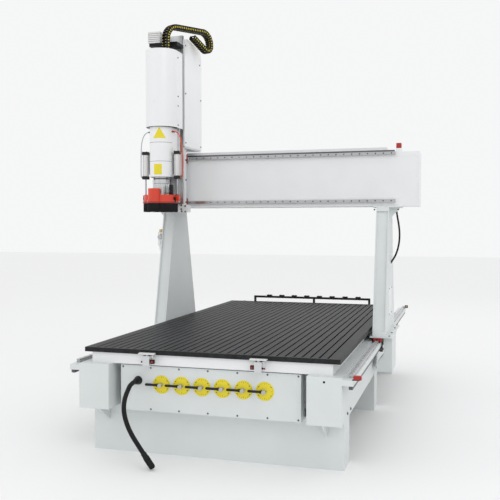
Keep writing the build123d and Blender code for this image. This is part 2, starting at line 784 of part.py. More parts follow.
upper_z = (carriage_z0 + 615, tower_top - 163)
lower_z = (carriage_z0 + 230, upper_z[0] - 2)
upper = half_round_cover(cover_half_upper, axis_y + 15, z_plate_y1 + 6, upper_z, 85)
lid = extrude(
    Pos(0, 0, upper_z[1] - 3) * cover_outline(cover_half_upper, axis_y + 15, z_plate_y0 - 3, 1), 3
)
lid -= block((cx + 10, cx + 95), (axis_y - 62, axis_y + 22), (upper_z[1] - 4, upper_z[1] + 1))
save("upper_cover", upper + lid)
save("lower_cover", half_round_cover(cover_half_lower, axis_y, z_plate_y0, lower_z, 72))

body_z = (carriage_z0 + 47, carriage_z0 + 355)
spindle = post(cx, axis_y, body_z, spindle_r) + post(cx, axis_y, (body_z[0] - 17, body_z[0]), nose_r)
spindle -= post(cx, axis_y, (body_z[0] - 20, body_z[1] - 28), rotor_r + fit_gap)
rotor = post(cx, axis_y, (body_z[0] - 18, body_z[1] - 30), rotor_r)
rotor += post(cx, axis_y, (body_z[0] - 42, body_z[0] - 18), 31)
rotor += post(cx, axis_y, (body_z[0] - 77, body_z[0] - 42), 20)
collet_length = 40
rotor -= post(cx, axis_y, (body_z[0] - 78, body_z[0] - 77 + collet_length), collet_r)
save("spindle_rotor", rotor)
clamp_half = spindle_r + 11
clamp = block((cx - clamp_half, cx + clamp_half), (axis_y - 46, z_plate_y0), (z_plate_z[0] + 5, body_z[1] - 8))
save("spindle_body", spindle, clamp - post(cx, axis_y, (z_plate_z[0], body_z[1]), spindle_r))

# ---------------------------------------------------------------- dust hood
cylinder_z = (lower_z[0] - 15, lower_z[0] + 200)
cap_height, cap_half, barrel_r, piston_r = 25, 22.5, 20, 16
barrels = []
for side in (-1, 1):
    x = cx + side * hood_cylinder_offset
    barrel = centred(x, axis_y, cylinder_z[0], 2 * cap_half, 2 * cap_half, cap_height)
    barrel += centred(x, axis_y, cylinder_z[1] - cap_height, 2 * cap_half, 2 * cap_half, cap_height)
    barrel += post(x, axis_y, cylinder_z, barrel_r)
    barrel -= post(x, axis_y, (cylinder_z[0] + cap_height, cylinder_z[1] - cap_height), piston_r)
    barrels.append(barrel - post(x, axis_y, (cylinder_z[0] - 1, cylinder_z[0] + 30), hood_rod_r + fit_gap))
save("hood_cylinders", *barrels)

hood_z0 = carriage_z0 + 25
hood_flange, hood_top, brush_length = hood_z0 + 25, hood_z0 + 65, 67
hood_hole_r = spindle_r + hood_gap
port_x, port_y = cx - 12, axis_y - (hood_hole_r + port_r + 1)


def hood_outline(inset):
    main = Pos(cx, axis_y - 16) * RectangleRounded(2 * (130 - inset), 2 * (114 - inset), 90 - inset)
    return main + Pos(port_x, port_y) * Circle(port_r + 8 - inset)


def hood_ring(outer_inset, inner_inset, z):
    ring = hood_outline(outer_inset) - hood_outline(inner_inset)
    return extrude(Pos(0, 0, z[0]) * ring, z[1] - z[0])


hood = hood_ring(0, 12, (hood_z0, hood_flange)) + hood_ring(8, 12, (hood_flange, hood_top))
roof = extrude(Pos(0, 0, hood_top - 4) * hood_outline(8), 4)
roof -= post(cx, axis_y, (hood_top - 5, hood_top + 1), hood_hole_r)
hood += roof + post(port_x, port_y, (hood_top - 4, hood_top + 47), port_r)
hood -= post(port_x, port_y, (hood_top - 5, hood_top + 48), port_r - port_wall)
for side in (-1, 1):
    x = cx + side * hood_cylinder_offset
    hood += block((x - 17, x + 17), (axis_y - 15, axis_y + 15), (hood_flange - 5, hood_top))
save("dust_hood", hood - post(cx, axis_y, (hood_z0 - 1, hood_top + 1), hood_hole_r))
save("brush_skirt", hood_ring(3, 15, (hood_z0 - brush_length, hood_z0)))

piston_z = hood_top + 205
rods = []
for side in (-1, 1):
    x = cx + side * hood_cylinder_offset
    rods.append(post(x, axis_y, (hood_top, piston_z + 12), hood_rod_r) + post(x, axis_y, (piston_z, piston_z + 12), piston_r - 0.1))
save("hood_rods", *rods)
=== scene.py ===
import json
import math
import random

import bmesh
import bpy
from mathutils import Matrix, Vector


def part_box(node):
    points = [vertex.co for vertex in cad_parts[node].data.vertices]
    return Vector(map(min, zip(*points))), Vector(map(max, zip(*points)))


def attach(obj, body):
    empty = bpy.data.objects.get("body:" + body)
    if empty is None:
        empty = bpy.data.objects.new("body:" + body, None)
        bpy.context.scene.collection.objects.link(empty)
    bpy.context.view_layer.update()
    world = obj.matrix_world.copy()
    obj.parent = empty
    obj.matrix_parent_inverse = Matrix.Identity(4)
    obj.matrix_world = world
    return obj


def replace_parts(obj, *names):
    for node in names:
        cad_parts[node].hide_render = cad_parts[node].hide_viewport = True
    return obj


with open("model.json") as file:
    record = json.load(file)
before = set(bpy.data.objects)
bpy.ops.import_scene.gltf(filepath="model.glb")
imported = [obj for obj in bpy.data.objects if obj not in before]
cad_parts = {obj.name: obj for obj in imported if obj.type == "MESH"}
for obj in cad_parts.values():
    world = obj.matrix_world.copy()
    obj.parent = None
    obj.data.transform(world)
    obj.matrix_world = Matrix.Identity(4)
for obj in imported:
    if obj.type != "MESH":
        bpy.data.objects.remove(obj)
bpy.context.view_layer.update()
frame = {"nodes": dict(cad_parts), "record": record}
nodes = frame["nodes"]
random.seed(4)
scene = bpy.context.scene
X, Y, Z = Vector((1, 0, 0)), Vector((0, 1, 0)), Vector((0, 0, 1))

# ------------------------------------------------------------------ camera, at the photo's place
camera_data = bpy.data.cameras.new("camera")
camera_data.lens = 52.47
camera_data.sensor_width = 36
camera_data.clip_end = 100
camera = bpy.data.objects.new("camera", camera_data)
camera.location = (1.456, -5.728, 1.417)
camera.rotation_euler = (math.radians(88.194), 0, math.radians(16.330))
scene.collection.objects.link(camera)
scene.camera = camera

# ------------------------------------------------------------------ places, from the frame
panel_lo, panel_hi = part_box("valve_panel")
panel_y = panel_lo[1]
front_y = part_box("plinths")[0][1]
rotor_lo, rotor_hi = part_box("spindle_rotor")
axis_x, axis_y = (rotor_lo[0] + rotor_hi[0]) / 2, (rotor_lo[1] + rotor_hi[1]) / 2
beam_lo, beam_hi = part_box("gantry_beam")
hood_lo, hood_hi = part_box("dust_hood")


# ------------------------------------------------------------------ materials
def material(name, color, rough, metal=0.0, grain=900, bump=0.05, depth=0.0004, stain=0.06,
             stretch=(1, 1, 1), coat=0.0, accent=None, accent_scale=6):
    """A surface with a fine grain in its relief, and slow changes of colour and gloss."""
    m = bpy.data.materials.new(name)
    m.use_nodes = True
    tree = m.node_tree
    shader = tree.nodes["Principled BSDF"]
    add, link = tree.nodes.new, tree.links.new
    place = add("ShaderNodeTexCoord")
    scale = add("ShaderNodeMapping")
    scale.inputs["Scale"].default_value = stretch
    link(place.outputs["Object"], scale.inputs["Vector"])
    fine, slow = add("ShaderNodeTexNoise"), add("ShaderNodeTexNoise")
    fine.inputs["Scale"].default_value = grain
    fine.inputs["Detail"].default_value = 3
    slow.inputs["Scale"].default_value = accent_scale
    slow.inputs["Detail"].default_value = 6
    link(scale.outputs[0], fine.inputs["Vector"])
    link(scale.outputs[0] if accent else place.outputs["Object"], slow.inputs["Vector"])
    ramp = add("ShaderNodeValToRGB")
    dark = tuple(c * (1 - stain) for c in color)
    ramp.color_ramp.elements[0].position = 0.3
    ramp.color_ramp.elements[0].color = (*(accent or dark), 1)
    ramp.color_ramp.elements[1].position = 0.7
    ramp.color_ramp.elements[1].color = (*color, 1)
    link(slow.outputs["Fac"], ramp.inputs["Fac"])
    link(ramp.outputs["Color"], shader.inputs["Base Color"])
    gloss = add("ShaderNodeMapRange")
    gloss.inputs["To Min"].default_value = max(0.03, rough - 0.07)
    gloss.inputs["To Max"].default_value = min(1.0, rough + 0.07)
    link(slow.outputs["Fac"], gloss.inputs["Value"])
    link(gloss.outputs[0], shader.inputs["Roughness"])
    relief = add("ShaderNodeBump")
    relief.inputs["Strength"].default_value = bump * 10
    relief.inputs["Distance"].default_value = depth
    link(fine.outputs["Fac"], relief.inputs["Height"])
    link(relief.outputs[0], shader.inputs["Normal"])
    shader.inputs["Metallic"].default_value = metal
    shader.inputs["Coat Weight"].default_value = coat
    return m


white = material("white_powder_coat", (0.83, 0.84, 0.845), 0.42, grain=700, bump=0.02, stain=0.03)
grey_white = material("grey_powder_coat", (0.70, 0.735, 0.73), 0.45, grain=700, bump=0.025,
                      stain=0.04)
cover_white = material("smooth_white_paint", (0.86, 0.865, 0.87), 0.30, grain=420, bump=0.006,
                       stain=0.02, coat=0.15)
phenolic = material("phenolic_board", (0.022, 0.023, 0.025), 0.50, grain=500, bump=0.06, stain=0.3,
                    stretch=(9, 0.8, 9), accent=(0.010, 0.010, 0.011), accent_scale=5)
steel = material("ground_steel", (0.50, 0.51, 0.52), 0.27, 1.0, grain=420, bump=0.03, stain=0.12,
                 stretch=(4, 4, 4))
dark_steel = material("oiled_steel", (0.16, 0.16, 0.165), 0.38, 0.9, grain=500, bump=0.05,
                      stain=0.3)
block_steel = material("blackened_steel", (0.07, 0.07, 0.075), 0.36, 0.8, grain=600, bump=0.05,
                       stain=0.25)
black = material("black_nylon", (0.010, 0.010, 0.012), 0.44, grain=800, bump=0.05, stain=0.3)
enamel = material("black_enamel", (0.022, 0.022, 0.025), 0.32, grain=300, bump=0.03, stain=0.2)
pale_enamel = material("pale_enamel", (0.74, 0.74, 0.73), 0.36, grain=300, bump=0.03, stain=0.05)
dark_red = material("dark_red_band", (0.36, 0.02, 0.015), 0.35, grain=300, bump=0.02, stain=0.15)
red = material("red_rubber", (0.42, 0.018, 0.014), 0.3, grain=400, bump=0.03, stain=0.18)
hood_red = material("red_hood_plastic", (0.72, 0.045, 0.010), 0.34, grain=250, bump=0.03,
                    stain=0.12, coat=0.3)
yellow = material("yellow_plate", (0.83, 0.69, 0.02), 0.38, grain=500, bump=0.02, stain=0.06)
chrome = material("chrome_plate", (0.50, 0.50, 0.51), 0.12, 1.0, grain=200, bump=0.01, stain=0.04)
brass = material("brass", (0.72, 0.50, 0.17), 0.26, 1.0, grain=300, bump=0.03, stain=0.18)
aluminium = material("machined_aluminium", (0.70, 0.71, 0.72), 0.33, 0.95, grain=380, bump=0.04,
                     stain=0.1,
                     stretch=(3, 3, 0.6))
spindle_metal = material("turned_aluminium", (0.62, 0.63, 0.64), 0.27, 0.95, grain=160, bump=0.05,
                         stain=0.12, stretch=(0.4, 0.4, 5))
rubber = material("cord_rubber", (0.009, 0.009, 0.010), 0.5, grain=600, bump=0.08, stain=0.3)
bristle = material("bristles", (0.018, 0.018, 0.02), 0.62, grain=330, bump=0.3, depth=0.002,
                   stain=0.4,
                   stretch=(1, 1, 0.04))
pipe_grey = material("grey_pipe", (0.42, 0.44, 0.46), 0.3, grain=200, bump=0.02, stain=0.1)
tube_orange = material("orange_tube", (0.80, 0.07, 0.01), 0.22, grain=200, bump=0.01, stain=0.08)
tube_grey = material("clear_grey_tube", (0.42, 0.45, 0.47), 0.25, grain=200, bump=0.01, stain=0.08)

for dull in (phenolic, black, enamel, rubber, bristle):
    dull.node_tree.nodes["Principled BSDF"].inputs["Specular IOR Level"].default_value = 0.22

finish_of = {
    "white_paint": white, "black_phenolic": phenolic, "rail_steel": steel, "rack_steel": dark_steel,
    "block_steel": block_steel, "black_plastic": black, "black_enamel": enamel,
    "pale_enamel": pale_enamel, "red_rubber": red, "dial_face": yellow, "lever_paint": enamel,
    "pipe_plastic": pipe_grey, "cord_rubber": rubber, "machined_aluminium": aluminium,
    "stop_paint": pale_enamel, "regulator_body": cover_white, "spindle_steel": spindle_metal,
    "hood_red": hood_red, "brush_bristle": bristle,
}
for part in frame["record"]["subparts"]:
    finish = finish_of[part["material_slot"]]
    if part["node"] in ("tower_cover", "upper_cover", "lower_cover"):
        finish = cover_white
    elif part["node"] in ("plinths", "side_beams", "valve_panel", "gantry_legs", "drive_covers"):
        finish = grey_white
    mesh_node = nodes[part["node"]]
    if not mesh_node.material_slots:
        mesh_node.data.materials.append(finish)
    for holder in mesh_node.material_slots:
        holder.material = finish


def soften(name, width):
    """Rounds the sharp edges of a CAD node a little, as paint and folds do."""
    bevel = nodes[name].modifiers.new("edges", "BEVEL")
    bevel.width = width
    bevel.segments = 2
    bevel.limit_method = "ANGLE"
    bevel.angle_limit = math.radians(35)
    bevel.harden_normals = True


for name, width in (
    ("plinths", 0.003), ("side_beams", 0.003), ("gantry_legs", 0.002), ("gantry_beam", 0.002),
    ("beam_end_cap", 0.002), ("x_carriage", 0.0015), ("table_frame", 0.002),
    ("valve_panel", 0.0015),
):
    soften(name, width)


# ------------------------------------------------------------------ mesh helpers
def piece(name, bm, finish, body, smooth=True):
    """Turns a bmesh into a named object that rides its body and shows in its slot."""
    bmesh.ops.recalc_face_normals(bm, faces=bm.faces)
    mesh = bpy.data.meshes.new(name)
    bm.to_mesh(mesh)
    bm.free()
    obj = bpy.data.objects.new(name, mesh)
    scene.collection.objects.link(obj)
    mesh.materials.append(finish)
    if smooth:
        for face in mesh.polygons:
            face.use_smooth = True
        mesh.set_sharp_from_angle(angle=math.radians(38))
    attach(obj, body)
    return obj


def frame_of(axis):
    """Three unit vectors at right angles, the last along the axis."""
    axis = Vector(axis).normalized()
    side = axis.cross(X if abs(axis.x) < 0.9 else Y).normalized()
    return side, axis.cross(side), axis


def lathe(bm, origin, axis, profile, steps=24):
    """A closed turned solid: profile is (radius, height) pairs from one end to the other."""
    side, up, along = frame_of(axis)
    origin = Vector(origin)
    rings = []
    for r, h in profile:
        rings.append([
            bm.verts.new(origin + along * h + (side * math.cos(a) + up * math.sin(a)) * r)
            for a in (2 * math.pi * i / steps for i in range(steps))
        ])
    for a, b in zip(rings, rings[1:]):
        for i in range(steps):
            bm.faces.new((a[i], a[(i + 1) % steps], b[(i + 1) % steps], b[i]))
    bm.faces.new(rings[0][::-1])
    bm.faces.new(rings[-1])


def brick(bm, low, high, bevel=0.001):
    """A box with eased edges."""
    made = bmesh.ops.create_cube(bm, size=1)["verts"]
    for v in made:
        v.co = Vector([low[i] + (v.co[i] + 0.5) * (high[i] - low[i]) for i in range(3)])
    edges = list({e for v in made for e in v.link_edges})
    bmesh.ops.bevel(bm, geom=edges, offset=bevel, segments=2, affect="EDGES", profile=0.6)


def plate(bm, outline, origin, u, v, thickness, inset=0.0):
    """A flat plate with the outline (a, b) along u and v, its front edge eased by inset."""
    u, v, origin = Vector(u), Vector(v), Vector(origin)
    normal = u.cross(v)
    middle = Vector((sum(p[0] for p in outline), sum(p[1] for p in outline))) / len(outline)
    loops = []
    for depth, shrink in ((0, 0), (thickness - inset, 0), (thickness, inset)):
        ring = []
        for a, b in outline:
            flat = Vector((a, b))
            if shrink:
                flat -= (flat - middle).normalized() * shrink
            ring.append(bm.verts.new(origin + u * flat.x + v * flat.y + normal * depth))
        loops.append(ring)
    n = len(outline)
    for a, b in zip(loops, loops[1:]):
        for i in range(n):
            bm.faces.new((a[i], a[(i + 1) % n], b[(i + 1) % n], b[i]))
    bm.faces.new(loops[0][::-1])
    bm.faces.new(loops[-1])


def rectangle(half_a, half_b):
    """An outline for plate, centred on its origin."""
    return [(-half_a, -half_b), (half_a, -half_b), (half_a, half_b), (-half_a, half_b)]


def screw(bm, origin, axis, r, h):
    """A cap screw head of radius r and height h, with a washer and a round socket."""
    lathe(bm, origin, axis, [
        (r * 1.5, 0), (r * 1.5, h * 0.15), (r, h * 0.16), (r, h * 0.9), (r * 0.88, h),
        (r * 0.5, h), (r * 0.48, h * 0.45), (0.0004, h * 0.4),
    ], 12)


def curve_tube(name, points, r, finish, body):
    """A round tube of radius r on a smooth curve that the points steer."""
    data = bpy.data.curves.new(name, "CURVE")
    data.dimensions = "3D"
    spline = data.splines.new("NURBS")
    spline.points.add(len(points) - 1)
    for point, co in zip(spline.points, points):
        point.co = (*co, 1)
    spline.order_u = 3
    spline.use_endpoint_u = True
    data.resolution_u = 12
    data.bevel_depth = r
    data.bevel_resolution = 4
    data.use_fill_caps = True
    data.materials.append(finish)
    obj = bpy.data.objects.new(name, data)
    scene.collection.objects.link(obj)
    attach(obj, body)
    return obj


# ------------------------------------------------------------------ power cord
cord_radius = 0.014
gland_x, gland_z = -0.451, 0.478
cord_route = [
    (gland_x, front_y - 0.150, gland_z),
    (gland_x, front_y - 0.204, gland_z),
    (-0.447, front_y - 0.258, 0.448),
    (-0.451, front_y - 0.294, 0.402),
    (-0.448, front_y - 0.312, 0.342),
    (-0.431, front_y - 0.316, 0.278),
    (-0.402, front_y - 0.314, 0.212),
    (-0.362, front_y - 0.310, 0.150),
    (-0.325, front_y - 0.306, 0.096),
]
cord = curve_tube("power_cord_sheath", cord_route, cord_radius, rubber, "base")
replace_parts(cord, "power_cord")

plug_start = Vector(cord_route[-1])
plug_axis = (plug_start - Vector(cord_route[-2])).normalized()
bm = bmesh.new()
lathe(bm, plug_start - plug_axis * 0.004, plug_axis, [
    (0.0145, 0), (0.0165, 0.004), (0.0168, 0.024), (0.0180, 0.027), (0.0188, 0.032),
    (0.0188, 0.052),
    (0.0180, 0.054), (0.0188, 0.056), (0.0188, 0.088), (0.0182, 0.098), (0.0155, 0.104),
    (0.010, 0.107),
], 32)
plug = piece("cord_connector", bm, rubber, "base")
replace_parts(plug, "cord_plug")

bm = bmesh.new()
lathe(bm, (gland_x, panel_y, gland_z), -Y, [
    (0.027, 0), (0.027, 0.003), (0.0245, 0.004), (0.0245, 0.013), (0.0225, 0.014), (0.0225, 0.018),
    (0.0215, 0.024), (0.0175, 0.046), (0.0160, 0.050), (0.0142, 0.050), (0.0141, 0.044),
], 12)
gland = piece("cord_strain_relief", bm, black, "base")
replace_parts(gland, "cord_gland")

# ------------------------------------------------------------------ valve dials and levers
hub_r = 0.013  # a lever's hub: its box ends this far to the right of its dial's centre
dials = sorted(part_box(f"vacuum_lever_{i + 1}")[1][0] - hub_r for i in range(6))
dial_z = (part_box("vacuum_lever_1")[0][2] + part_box("vacuum_lever_1")[1][2]) / 2
mark_count, mark_half = 24, 0.0007
faces, marks, stems = bmesh.new(), bmesh.new(), bmesh.new()
for x in dials:
    lathe(faces, (x, panel_y, dial_z), -Y, [
        (0.0555, 0), (0.0558, 0.0016), (0.0548, 0.0024), (0.0095, 0.0024),
    ], 64)
    for k in range(mark_count):
        a = 2 * math.pi * k / mark_count
        ray = Vector((math.cos(a), 0, math.sin(a)))
        cross = Vector((-math.sin(a), 0, math.cos(a)))
        long = 0.006 if k % 6 else 0.012
        centre = Vector((x, panel_y - 0.0024, dial_z)) + ray * (0.050 - long / 2)
        plate(marks, rectangle(long / 2, mark_half), centre, ray, cross,
              0.0004 if ray.cross(cross).y < 0 else -0.0004)
    lathe(stems, (x, panel_y, dial_z), -Y, [
        (0.0079, 0.0), (0.0079, 0.0345), (0.0125, 0.0346), (0.0125, 0.0385), (0.0110, 0.0400),
        (0.0060, 0.0405), (0.0058, 0.0418), (0.0005, 0.0419),
    ], 24)
face_piece = piece("dial_faces", faces, yellow, "base")
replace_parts(face_piece, "valve_dials")
piece("dial_marks", marks, enamel, "base", smooth=False)
piece("dial_stems", stems, chrome, "base")

tip, root, collar = 0.0078, 0.0068, 0.0095  # half widths of a lever's arm
tip_steps = 14
for i, x in enumerate(dials):
    low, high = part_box(f"vacuum_lever_{i + 1}")
    hub, arm = bmesh.new(), bmesh.new()
    lathe(hub, (x, high[1], dial_z), -Y, [
        (0.0100, 0), (0.0126, 0.001), (0.0128, 0.005), (0.0112, 0.006), (0.0112, 0.014),
        (0.0128, 0.016), (0.0128, 0.029), (0.0118, 0.0303), (0.0085, 0.0304),
    ], 24)
    outline = []
    length = x - low[0]
    for k in range(tip_steps + 1):
        a = math.pi / 2 + math.pi * k / tip_steps
        outline.append((-length + tip + tip * math.cos(a), tip * math.sin(a)))
    outline += [
        (-0.030, -root), (-0.022, -collar), (-0.006, -collar),
        (-0.006, collar), (-0.022, collar), (-0.030, root),
    ]
    plate(arm, outline, (x, low[1] + 0.014, dial_z), X, Z, 0.0075, 0.0018)
    lever_piece = piece(f"lever_{i + 1}_arm", arm, enamel, f"lever_{i + 1}")
    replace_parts(lever_piece, f"vacuum_lever_{i + 1}")
    piece(f"lever_{i + 1}_hub", hub, chrome, f"lever_{i + 1}")

# ------------------------------------------------------------------ racks with teeth
gear_module = 0.002
tooth_pitch = math.pi * gear_module


def toothed_rack(bm, low, high, along, face, sign):
    """A rack bar from low to high, with teeth along one axis on the face that faces sign."""
    root = 0.0045
    lo, hi = list(low), list(high)
    if sign < 0:
        lo[face] += root
    else:
        hi[face] -= root
    brick(bm, lo, hi, 0.0008)
    other = 3 - along - face
    base = lo[face] + 0.0004 if sign < 0 else hi[face] - 0.0004
    peak = low[face] if sign < 0 else high[face]
    count = int((high[along] - low[along]) / tooth_pitch) - 1
    start = low[along] + 0.003
    for i in range(count):
        t = start + i * tooth_pitch
        ring = []
        for a, f in ((t, base), (t + 0.0052, base), (t + 0.0036, peak), (t + 0.0016, peak)):
            pair = []
            for o in (low[other] + 0.0005, high[other] - 0.0005):
                co = [0, 0, 0]
                co[along], co[face], co[other] = a, f, o
                pair.append(bm.verts.new(co))
            ring.append(pair)
        for k in range(4):
            a, b = ring[k], ring[(k + 1) % 4]
            bm.faces.new((a[0], b[0], b[1], a[1]))
        bm.faces.new([p[0] for p in ring[::-1]])
        bm.faces.new([p[1] for p in ring])


rack_lo, rack_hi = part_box("y_racks")
bm = bmesh.new()
rack_width = 0.022
for lo_x, hi_x in ((rack_lo[0], rack_lo[0] + rack_width), (rack_hi[0] - rack_width, rack_hi[0])):
    toothed_rack(bm, (lo_x, rack_lo[1], rack_lo[2]), (hi_x, rack_hi[1], rack_hi[2]), 1, 2, -1)
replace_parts(piece("table_racks", bm, dark_steel, "base", smooth=False),
            "y_racks")
bm = bmesh.new()
toothed_rack(bm, *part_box("x_rack"), 0, 1, 1)
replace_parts(piece("beam_rack", bm, dark_steel, "gantry", smooth=False), "x_rack")

# ------------------------------------------------------------------ bearing block seals
rail_half, block_half = 0.0125, 0.035  # rail with its clearance, and a block, each half as wide
seal_half, block_length = 0.031, 0.084
seal = bmesh.new()
y_lo, y_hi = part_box("y_bearing_blocks")
for side in (-1, 1):
    middle = side * (y_hi[0] - block_half)
    for y0 in (y_lo[1], y_hi[1] - block_length):
        for y in (y0 - 0.003, y0 + 0.083):
            for half in (-1, 1):
                x0, x1 = sorted((middle + half * rail_half, middle + half * seal_half))
                brick(seal, (x0, y, y_lo[2] + 0.002), (x1, y + 0.004, y_hi[2] - 0.003), 0.0008)
            brick(seal, (middle - rail_half, y, y_hi[2] - 0.012),
                  (middle + rail_half, y + 0.004, y_hi[2] - 0.003), 0.0006)
piece("table_block_seals", seal, red, "gantry")
seal = bmesh.new()
x_lo, x_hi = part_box("x_bearing_blocks")
for z0 in (x_lo[2] + block_half, x_hi[2] - block_half):
    for x in (x_lo[0] - 0.003, x_lo[0] + 0.083, x_hi[0] - 0.086, x_hi[0] - 0.001):
        for half in (-1, 1):
            z = sorted((z0 + half * rail_half, z0 + half * seal_half))
            brick(seal, (x, x_lo[1] + 0.003, z[0]), (x + 0.004, x_hi[1] - 0.002, z[1]), 0.0008)
        brick(seal, (x, x_lo[1] + 0.003, z0 - rail_half),
              (x + 0.004, x_lo[1] + 0.012, z0 + rail_half), 0.0006)
piece("beam_block_seals", seal, red, "carriage")

# ------------------------------------------------------------------ energy chain
turn = math.radians(22)
flat_dir = Vector((math.sin(turn), math.cos(turn), 0))
chain_side = Vector((math.cos(turn), -math.sin(turn), 0))
chain_foot = Vector((axis_x + 0.050, axis_y - 0.020, 0))
tower_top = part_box("tower_plate")[1][2] + 0.010
corners = [
    Vector((0, tower_top - 0.970)), Vector((0, tower_top + 0.023)),
    Vector((0.505, tower_top + 0.067)),
    Vector((0.505, tower_top - 0.115)), Vector((0.290, tower_top - 0.003)),
]
bend_radii = [0.110, 0.090, 0.045]


def bent_line(points, radii, step):
    """Even stations (point, direction) on a line of straight runs joined by arcs."""
    dense = [points[0]]
    for a, b, c, r in zip(points, points[1:], points[2:], radii):
        u, v = (b - a).normalized(), (c - b).normalized()
        half = math.acos(max(-1, min(1, u.dot(v)))) / 2
        cut = r * math.tan(half)
        start, sign = b - u * cut, math.copysign(1, u.x * v.y - u.y * v.x)
        normal = Vector((-u.y, u.x)) * sign
        centre = start + normal * r
        for k in range(17):
            a_k = 2 * half * k / 16 * sign
            arm = -normal
            dense.append(centre + r * Vector((
                arm.x * math.cos(a_k) - arm.y * math.sin(a_k),
                arm.x * math.sin(a_k) + arm.y * math.cos(a_k),
            )))
    dense.append(points[-1])
    stations, travelled, target = [], 0.0, 0.0
    for a, b in zip(dense, dense[1:]):
        run = (b - a).length
        while run > 1e-9 and target <= travelled + run:
            stations.append((a.lerp(b, (target - travelled) / run), (b - a).normalized()))
            target += step
        travelled += run
    return stations


def turned(u, v, out):
    """Axes for plate so that it grows inwards, against the direction out."""
    return (u, v) if u.cross(v).dot(out) < 0 else (u, -v)


link_pitch = 0.021
half_h, half_w = 0.0205, 0.0262
links, ticks = bmesh.new(), bmesh.new()
for index, (spot, way) in enumerate(bent_line(corners, bend_radii, link_pitch)):
    centre = chain_foot + flat_dir * spot.x + Z * spot.y
    ahead = flat_dir * way.x + Z * way.y
    across = ahead.cross(chain_side)
    out = 0.0 if index % 2 else 0.0011
    for side in (-1, 1):
        outline = []
        for end, sign in ((0.0125, 1), (-0.0125, -1)):
            for k in range(7):
                a = -math.pi / 2 + math.pi * k / 6
                outline.append((
                    end * 0.72 + sign * 0.011 * math.cos(a) * 0.6,
                    sign * (half_h - 0.0015) * math.sin(a),
                ))
        origin = centre + chain_side * side * (half_w - out)
        u, v = turned(ahead, across, chain_side * side)
        plate(links, outline, origin, u, v, 0.0042, 0.0008)
        origin = centre + chain_side * side * (half_w + 0.0025)
        plate(ticks, rectangle(0.0030, 0.0062), origin, u, v, 0.0010, 0.0003)
    for side in (-1, 1):
        u, v = turned(ahead, chain_side, across * side)
        plate(links, rectangle(0.0050, half_w - 0.003), centre + across * side * (half_h - 0.0002),
              u, v, 0.0036, 0.0006)
        for edge in (-1, 1):
            origin = centre + across * side * (half_h + 0.0002)
            origin += chain_side * edge * (half_w - 0.0072)
            plate(ticks, rectangle(0.0022, 0.0028), origin, u, v, 0.0030, 0.0004)
chain = piece("energy_chain_links", links, black, "carriage")
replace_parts(chain, "z_energy_chain")
piece("energy_chain_latches", ticks, yellow, "carriage")
inner = bent_line(corners, bend_radii, 0.06)
for k, (offset_w, r, finish) in enumerate((
    (-0.013, 0.0055, rubber), (0.0, 0.0065, rubber), (0.013, 0.0045, tube_orange),
)):
    points = [chain_foot + flat_dir * s.x + Z * s.y + chain_side * offset_w for s, _ in inner]
    curve_tube(f"chain_line_{k + 1}", points, r, finish, "carriage")

# ------------------------------------------------------------------ brush skirt
brush_lo, brush_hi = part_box("brush_skirt")
port = Vector((axis_x - 0.012, axis_y - 0.113))


def hood_line(inset, steps=220):
    """Points round the hood's plan, drawn in from its edge: rounded box joined with the port."""
    centre = Vector((axis_x, axis_y - 0.016))
    half = Vector((0.130 - inset, 0.114 - inset))
    r = 0.090 - inset
    line = []
    for i in range(steps):
        a = 2 * math.pi * i / steps
        ray = Vector((math.cos(a), math.sin(a)))
        low, high = 0.0, 0.3
        for _ in range(26):
            t = (low + high) / 2
            p = centre + ray * t
            q = Vector((
                max(abs(p.x - centre.x) - (half.x - r), 0),
                max(abs(p.y - centre.y) - (half.y - r), 0),
            ))
            inside = q.length < r or (p - port).length < 0.056 - inset
            low, high = (t, high) if inside else (low, t)
        line.append(centre + ray * low)
    return line


diamond = ((-1, 0), (0, -1), (1, 0), (0, 1))  # a tuft's cross-section
tufts = bmesh.new()
for inset in (0.0045, 0.0085, 0.0125):
    line = hood_line(inset)
    n = len(line)
    for i, p in enumerate(line):
        along = (line[(i + 1) % n] - line[i - 1]).normalized()
        out = Vector((along.y, -along.x))
        gap = (line[(i + 1) % n] - p).length
        length = brush_hi[2] - brush_lo[2] - random.uniform(0.0, 0.005)
        lean = random.uniform(-0.0012, 0.0012)
        rings = []
        for t, w in ((0, 0.50), (0.5, 0.52), (0.93, 0.47), (1, 0.25)):
            z = brush_hi[2] - length * t
            base = Vector((p.x, p.y, z)) + Vector((along.x, along.y, 0)) * lean * t
            du = Vector((along.x, along.y, 0)) * gap * w
            dv = Vector((out.x, out.y, 0)) * 0.0017 * (w + 0.4)
            rings.append([tufts.verts.new(base + du * a + dv * b) for a, b in diamond])
        for a, b in zip(rings, rings[1:]):
            for k in range(4):
                tufts.faces.new((a[k], a[(k + 1) % 4], b[(k + 1) % 4], b[k]))
        tufts.faces.new(rings[0])
        tufts.faces.new(rings[-1][::-1])
brush = piece("brush_bristles", tufts, bristle, "hood", smooth=False)
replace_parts(brush, "brush_skirt")

# ------------------------------------------------------------------ rail bolt plugs
rail_pitch = 0.060
plugs = {body: bmesh.new() for body in ("base", "gantry", "carriage")}


def rail_plugs(bm, start, along, out, length):
    """A sunk bolt plug at each pitch of a rail, from start, facing out."""
    start, along, out = Vector(start), Vector(along), Vector(out)
    for i in range(int(length / rail_pitch + 0.001)):
        foot = start + along * rail_pitch * (i + 0.5) - out * 0.010
        lathe(bm, foot, out, [
            (0.0052, 0), (0.0052, 0.0088), (0.0046, 0.0094), (0.0012, 0.0094), (0.0010, 0.0088),
        ], 14)


